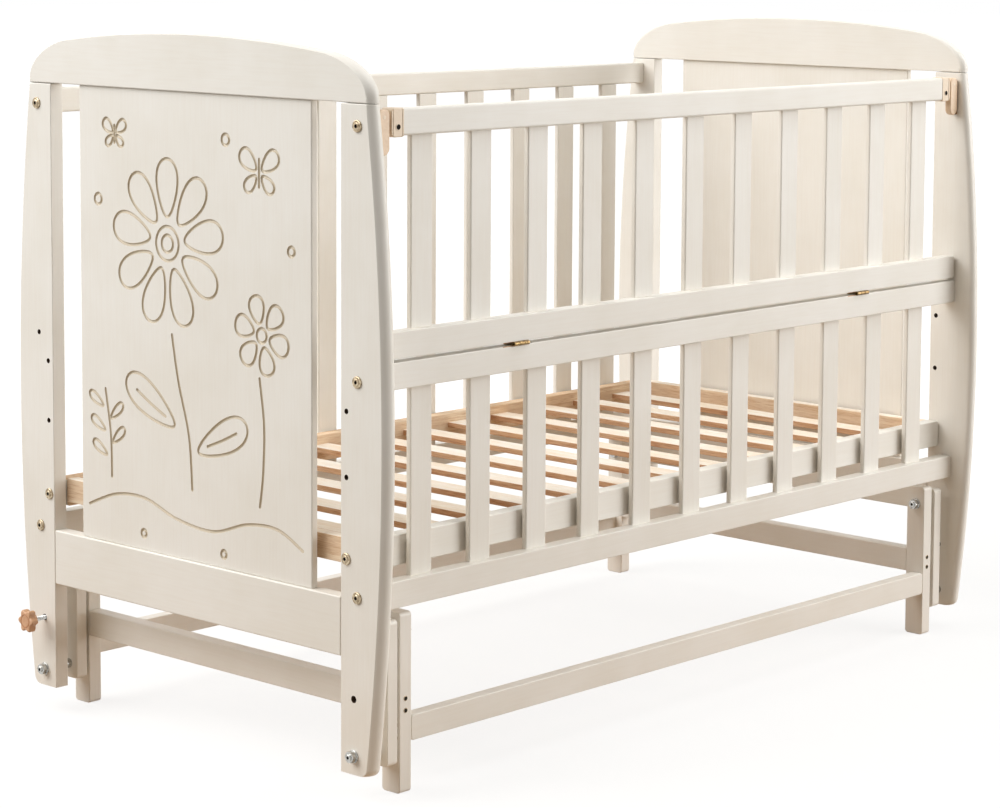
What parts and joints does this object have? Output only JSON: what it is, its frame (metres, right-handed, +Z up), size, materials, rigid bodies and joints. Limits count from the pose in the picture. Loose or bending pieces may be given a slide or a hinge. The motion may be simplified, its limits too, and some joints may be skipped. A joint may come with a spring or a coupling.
{
  "type": "crib",
  "caption": "Wooden baby crib on a cross-swing stand, with curved ends, slatted sides, a front that folds down, a slatted mattress base and a knob that locks the swing.",
  "frame": {"origin": "on the floor, under the middle of the whole object", "axes": "+Z up, +X along the crib's length towards the end without the lock knob, -Y towards the side that folds down"},
  "size_m": [1.2872, 0.708, 0.919],
  "materials": {
    "ivory_painted_wood": "satin ivory paint over beech",
    "raw_beech": "sanded, unpainted",
    "beige_plastic": "moulded, slight gloss",
    "tan_plastic": "moulded, slight gloss",
    "brown_plastic": "moulded, matt",
    "zinc_steel": "zinc plated",
    "bronze_steel": "antique bronze plated",
    "brass_plated": "brass plated"
  },
  "bodies": {
    "stand": {"leg_front_left": "ivory_painted_wood", "leg_front_right": "ivory_painted_wood", "leg_back_left": "ivory_painted_wood", "leg_back_right": "ivory_painted_wood", "long_stretcher_front": "ivory_painted_wood", "long_stretcher_back": "ivory_painted_wood", "end_stretcher_left": "ivory_painted_wood", "end_stretcher_right": "ivory_painted_wood", "upper_pivot_front_left": "zinc_steel", "upper_pivot_front_right": "zinc_steel", "upper_pivot_back_left": "zinc_steel", "upper_pivot_back_right": "zinc_steel"},
    "link_front_left": {"link_front_left": "ivory_painted_wood"},
    "link_front_right": {"link_front_right": "ivory_painted_wood"},
    "link_back_left": {"link_back_left": "ivory_painted_wood"},
    "link_back_right": {"link_back_right": "ivory_painted_wood"},
    "crib_body": {"post_front_left": "ivory_painted_wood", "post_front_right": "ivory_painted_wood", "post_back_left": "ivory_painted_wood", "post_back_right": "ivory_painted_wood", "cap_left": "ivory_painted_wood", "cap_right": "ivory_painted_wood", "board_left": "ivory_painted_wood", "board_right": "ivory_painted_wood", "end_rail_left": "ivory_painted_wood", "end_rail_right": "ivory_painted_wood", "back_top_rail": "ivory_painted_wood", "back_slats_and_bottom_rail": "ivory_painted_wood", "front_lower_top_rail": "ivory_painted_wood", "front_lower_slats_and_bottom_rail": "ivory_painted_wood", "mattress_base_front_rail": "ivory_painted_wood", "mattress_base_slats_and_back_rail": "raw_beech", "base_bolt_front_left": "bronze_steel", "base_bolt_front_right": "bronze_steel", "base_bolt_back_left": "bronze_steel", "base_bolt_back_right": "bronze_steel", "lower_pivot_front_left": "zinc_steel", "lower_pivot_front_right": "zinc_steel", "lower_pivot_back_left": "zinc_steel", "lower_pivot_back_right": "zinc_steel", "strike_plate_left": "brown_plastic", "strike_plate_right": "brown_plastic", "hinge_left_lower_leaf": "brass_plated", "hinge_right_lower_leaf": "brass_plated"},
    "folding_side": {"folding_top_rail": "ivory_painted_wood", "folding_slats_and_bottom_rail": "ivory_painted_wood", "end_cap_left": "beige_plastic", "end_cap_right": "beige_plastic", "hinge_left_upper_leaf": "brass_plated", "hinge_right_upper_leaf": "brass_plated"},
    "latch_left": {"latch_lever_left": "beige_plastic"},
    "latch_right": {"latch_lever_right": "beige_plastic"},
    "lock_stud": {"lock_stud": "zinc_steel"},
    "lock_knob": {"lock_knob": "tan_plastic"}
  },
  "joints": [
    {"name": "swing", "type": "hinge", "parent": "stand", "child": "link_front_left", "pos_m": [-0.562, -0.3, 0.199], "axis": [1, 0, 0], "range_deg": [-10, 10]},
    {"name": "swing_front_right", "type": "hinge", "parent": "stand", "child": "link_front_right", "pos_m": [0.585, -0.3, 0.199], "axis": [1, 0, 0], "range_deg": [-10, 10]},
    {"name": "swing_back_left", "type": "hinge", "parent": "stand", "child": "link_back_left", "pos_m": [-0.562, 0.3, 0.199], "axis": [1, 0, 0], "range_deg": [-10, 10]},
    {"name": "swing_back_right", "type": "hinge", "parent": "stand", "child": "link_back_right", "pos_m": [0.585, 0.3, 0.199], "axis": [1, 0, 0], "range_deg": [-10, 10]},
    {"name": "crib_level", "type": "hinge", "parent": "link_front_left", "child": "crib_body", "pos_m": [-0.562, -0.3, 0.058], "axis": [1, 0, 0], "range_deg": [-10, 10]},
    {"name": "fold", "type": "hinge", "parent": "crib_body", "child": "folding_side", "pos_m": [0.0115, -0.3215, 0.5355], "axis": [1, 0, 0], "range_deg": [0, 178]},
    {"name": "latch_left", "type": "hinge", "parent": "folding_side", "child": "latch_left", "pos_m": [-0.5793, -0.3145, 0.8285], "axis": [0, -1, 0], "range_deg": [0, 8], "stiffness_Nm_per_rad": 0.3},
    {"name": "latch_right", "type": "hinge", "parent": "folding_side", "child": "latch_right", "pos_m": [0.6023, -0.3145, 0.8285], "axis": [0, 1, 0], "range_deg": [0, 8], "stiffness_Nm_per_rad": 0.3},
    {"name": "lock_slide", "type": "slide", "parent": "crib_body", "child": "lock_stud", "axis": [1, 0, 0], "range_m": [0, 0.0175]},
    {"name": "lock_turn", "type": "hinge", "parent": "lock_stud", "child": "lock_knob", "pos_m": [-0.635, 0.3, 0.128], "axis": [1, 0, 0], "range_deg": [0, 5040]}
  ],
  "couplings": [
    {"joint": "crib_level", "follows": "swing", "ratio": -1},
    {"joint": "swing_front_right", "follows": "swing", "ratio": 1},
    {"joint": "swing_back_left", "follows": "swing", "ratio": 1},
    {"joint": "swing_back_right", "follows": "swing", "ratio": 1},
    {"joint": "lock_turn", "follows": "lock_slide", "rad_per_m": 5026.5}
  ]
}
